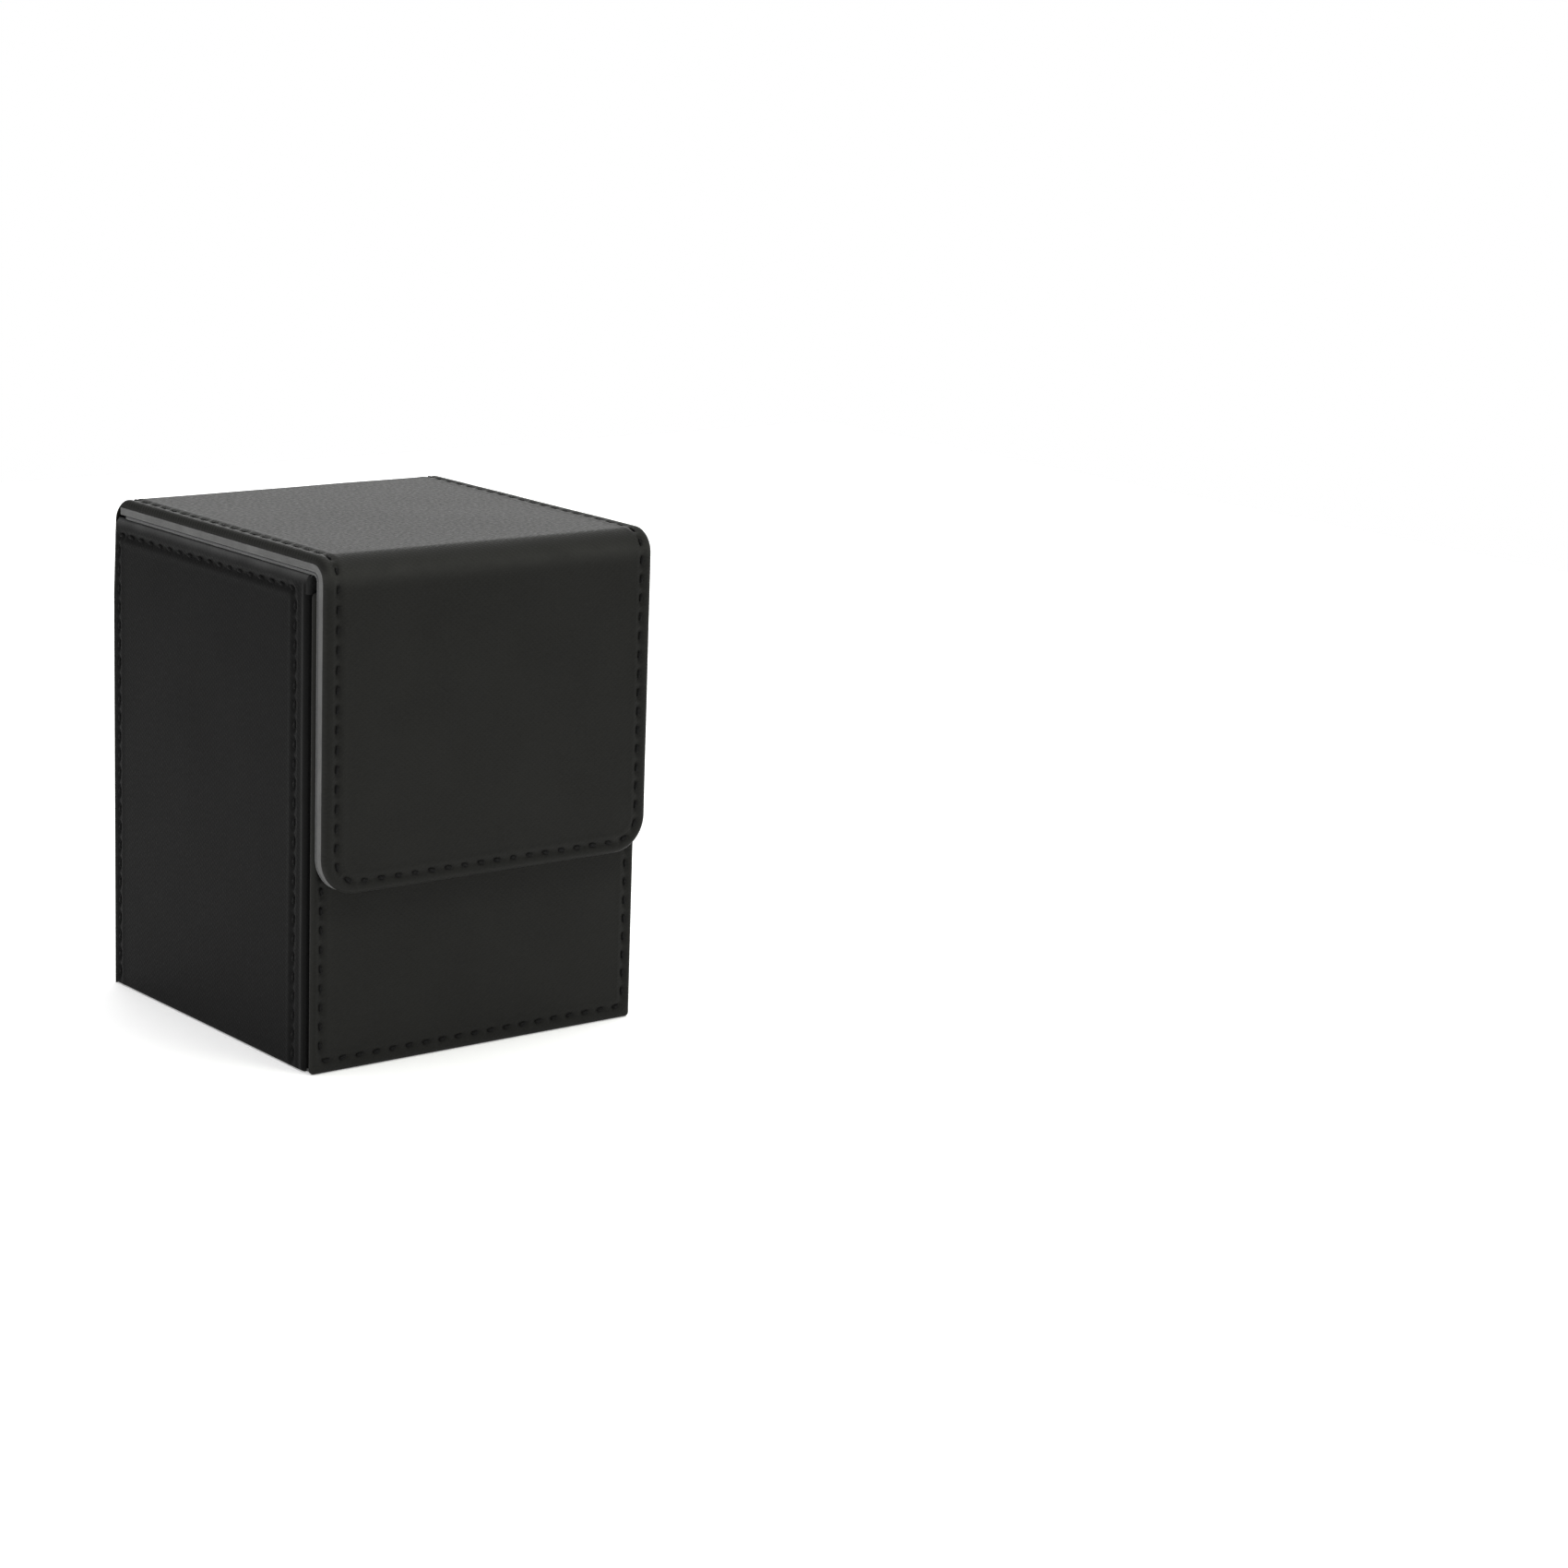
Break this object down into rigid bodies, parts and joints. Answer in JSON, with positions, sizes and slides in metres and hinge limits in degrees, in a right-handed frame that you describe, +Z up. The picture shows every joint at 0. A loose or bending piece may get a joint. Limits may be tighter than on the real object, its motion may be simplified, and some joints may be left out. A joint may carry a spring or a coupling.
{
  "type": "card deck box",
  "caption": "Upright leather-covered box for a sleeved card deck, with a lid hinged at the rear and a front flap held shut by hidden magnets.",
  "frame": {"origin": "bottom centre of the closed box, on the surface it stands on", "axes": "+Z up, +X to the right seen from the front, the flap is on the -Y side and the lid hinge on the +Y side"},
  "size_m": [0.0786, 0.083, 0.1037],
  "materials": {
    "leather": "black synthetic leather, fine regular grain, satin",
    "board": "light grey board, cut edge showing at the lid and flap",
    "lining": "charcoal microfibre, short nap",
    "thread": "black polyester thread",
    "magnet": "nickel plated disc"
  },
  "bodies": {
    "tub": {"left_cover": "leather", "right_cover": "leather", "front_cover": "leather", "rear_cover": "leather", "base_cover": "leather", "left_board": "board", "right_board": "board", "front_board": "board", "rear_board": "board", "floor_board": "board", "left_lining": "lining", "right_lining": "lining", "front_lining": "lining", "rear_lining": "lining", "floor_lining": "lining", "left_seam": "thread", "right_seam": "thread", "front_seam": "thread", "rear_seam": "thread", "front_magnet_left": "magnet", "front_magnet_right": "magnet", "hinge_cover": "leather", "hinge_lining": "lining"},
    "lid": {"lid_cover": "leather", "lid_board": "board", "lid_lining": "lining", "lid_seam_left": "thread", "lid_seam_right": "thread", "fold_cover": "leather", "fold_core": "board", "fold_lining": "lining"},
    "flap": {"flap_cover": "leather", "flap_board": "board", "flap_lining": "lining", "flap_seam": "thread", "flap_magnet_left": "magnet", "flap_magnet_right": "magnet"}
  },
  "joints": [
    {"name": "lid_hinge", "type": "hinge", "parent": "tub", "child": "lid", "pos_m": [0, 0.03892, 0.10117], "axis": [-1, 0, 0], "range_deg": [0, 170], "deforming": ["hinge_cover", "hinge_lining"]},
    {"name": "flap_fold", "type": "hinge", "parent": "lid", "child": "flap", "pos_m": [0, -0.03868, 0.10093], "axis": [-1, 0, 0], "range_deg": [0, 90], "deforming": ["fold_cover", "fold_core", "fold_lining"]}
  ]
}
